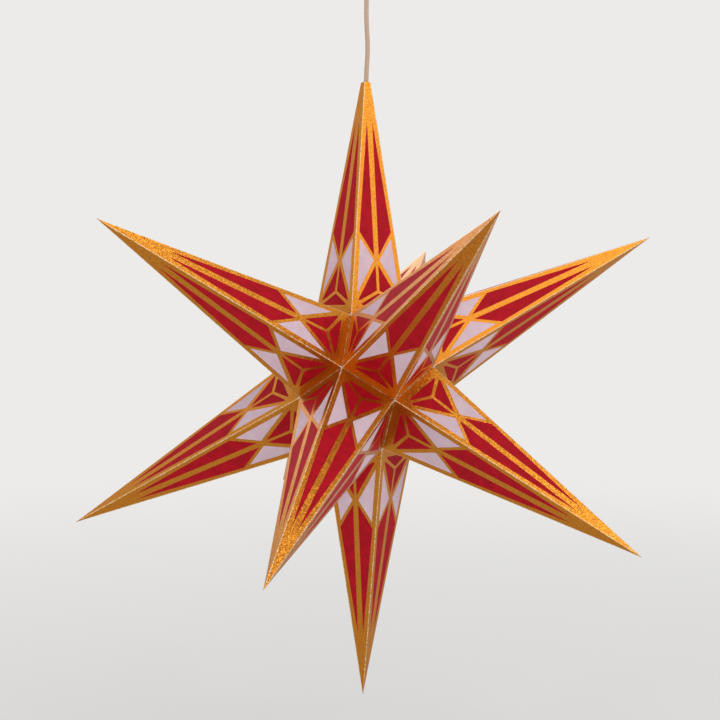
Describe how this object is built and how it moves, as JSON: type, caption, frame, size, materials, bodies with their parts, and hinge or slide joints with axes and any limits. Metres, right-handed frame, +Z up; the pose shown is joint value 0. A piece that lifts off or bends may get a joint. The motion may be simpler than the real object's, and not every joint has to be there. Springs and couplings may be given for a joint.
{
  "type": "moravian star pendant",
  "caption": "Folded card star pendant that hangs on its lamp cable from a ceiling rose, with lampholder and bulb inside.",
  "frame": {"origin": "on the ceiling, at the middle of the ceiling rose's back face", "axes": "+Z up into the ceiling, -Y towards the front of the star, +X to the right"},
  "size_m": [0.5954, 0.626, 0.856],
  "materials": {
    "star_card": "printed card, red with pale fields and metallic gold bands outside, white inside",
    "fastener_brass": "bright pressed brass",
    "cord_stop_plastic": "moulded, natural white",
    "screw_steel": "zinc plated",
    "cable_jacket": "smooth flexible jacket, rosy beige",
    "core_brown": "brown insulation",
    "core_blue": "blue insulation",
    "rose_plastic": "moulded, white, lightly glossy",
    "turned_brass": "turned brass",
    "terminal_plastic": "moulded, ivory",
    "holder_plastic": "moulded thermoset, white",
    "contact_ceramic": "unglazed",
    "plated_metal": "nickel plated sheet",
    "insulator_glass": "black vitrite",
    "lamp_glass": "clear blown glass",
    "filament_coating": "yellow silicone coating"
  },
  "bodies": {
    "ceiling": {"rose_base": "rose_plastic", "cord_clamp_bar": "rose_plastic", "cord_clamp_screws": "screw_steel", "terminal_block": "terminal_plastic", "terminal_sleeves": "turned_brass", "terminal_screws": "screw_steel", "terminal_fixing_screw": "screw_steel", "live_core": "core_brown", "neutral_core": "core_blue", "pendant_cable": "cable_jacket"},
    "cup": {"rose_cup": "rose_plastic", "cup_bush": "turned_brass", "cup_nut": "turned_brass", "cup_grub_screw": "screw_steel"},
    "star": {"top_spike": "star_card", "upper_front_right_spike": "star_card", "upper_right_spike": "star_card", "upper_left_spike": "star_card", "upper_front_left_spike": "star_card", "lower_front_spike": "star_card", "lower_right_spike": "star_card", "lower_back_right_spike": "star_card", "lower_back_left_spike": "star_card", "lower_left_spike": "star_card", "bottom_spike": "star_card", "hinge_flap": "star_card", "seam_fasteners": "fastener_brass", "cord_stop": "cord_stop_plastic", "cord_stop_screw": "screw_steel", "lampholder_cord_screw": "screw_steel", "contact_screws": "screw_steel", "lamp_cable": "cable_jacket", "lamp_live_core": "core_brown", "lamp_neutral_core": "core_blue", "centre_contact": "turned_brass", "lampholder_body": "holder_plastic", "lampholder_cap": "holder_plastic", "contact_block": "contact_ceramic", "threaded_shell": "plated_metal"},
    "access_spike": {"upper_back_spike": "star_card"},
    "bulb_tip": {"bulb_contact": "plated_metal"},
    "bulb": {"bulb_cap": "plated_metal", "bulb_insulator": "insulator_glass", "bulb_glass": "lamp_glass", "bulb_stem": "lamp_glass", "bulb_filaments": "filament_coating", "bulb_support_wires": "screw_steel"}
  },
  "joints": [
    {"name": "star_turn", "type": "hinge", "parent": "ceiling", "child": "star", "pos_m": [0, 0, -0.192], "axis": [0, 0, 1], "range_deg": [-180, 180]},
    {"name": "cup_slide", "type": "slide", "parent": "ceiling", "child": "cup", "axis": [0, 0, -1], "range_m": [0, 0.05]},
    {"name": "access_spike_fold", "type": "hinge", "parent": "star", "child": "access_spike", "pos_m": [0, 0.04343, -0.43583], "axis": [1, 0, 0], "range_deg": [0, 44]},
    {"name": "bulb_travel", "type": "slide", "parent": "star", "child": "bulb_tip", "axis": [0, 0, -1], "range_m": [0, 0.0113]},
    {"name": "bulb_turn", "type": "hinge", "parent": "bulb_tip", "child": "bulb", "pos_m": [0, 0, -0.48], "axis": [0, 0, -1], "range_deg": [0, 1440]}
  ],
  "couplings": [
    {"joint": "bulb_travel", "follows": "bulb_turn", "m_per_rad": 0.00044882}
  ]
}
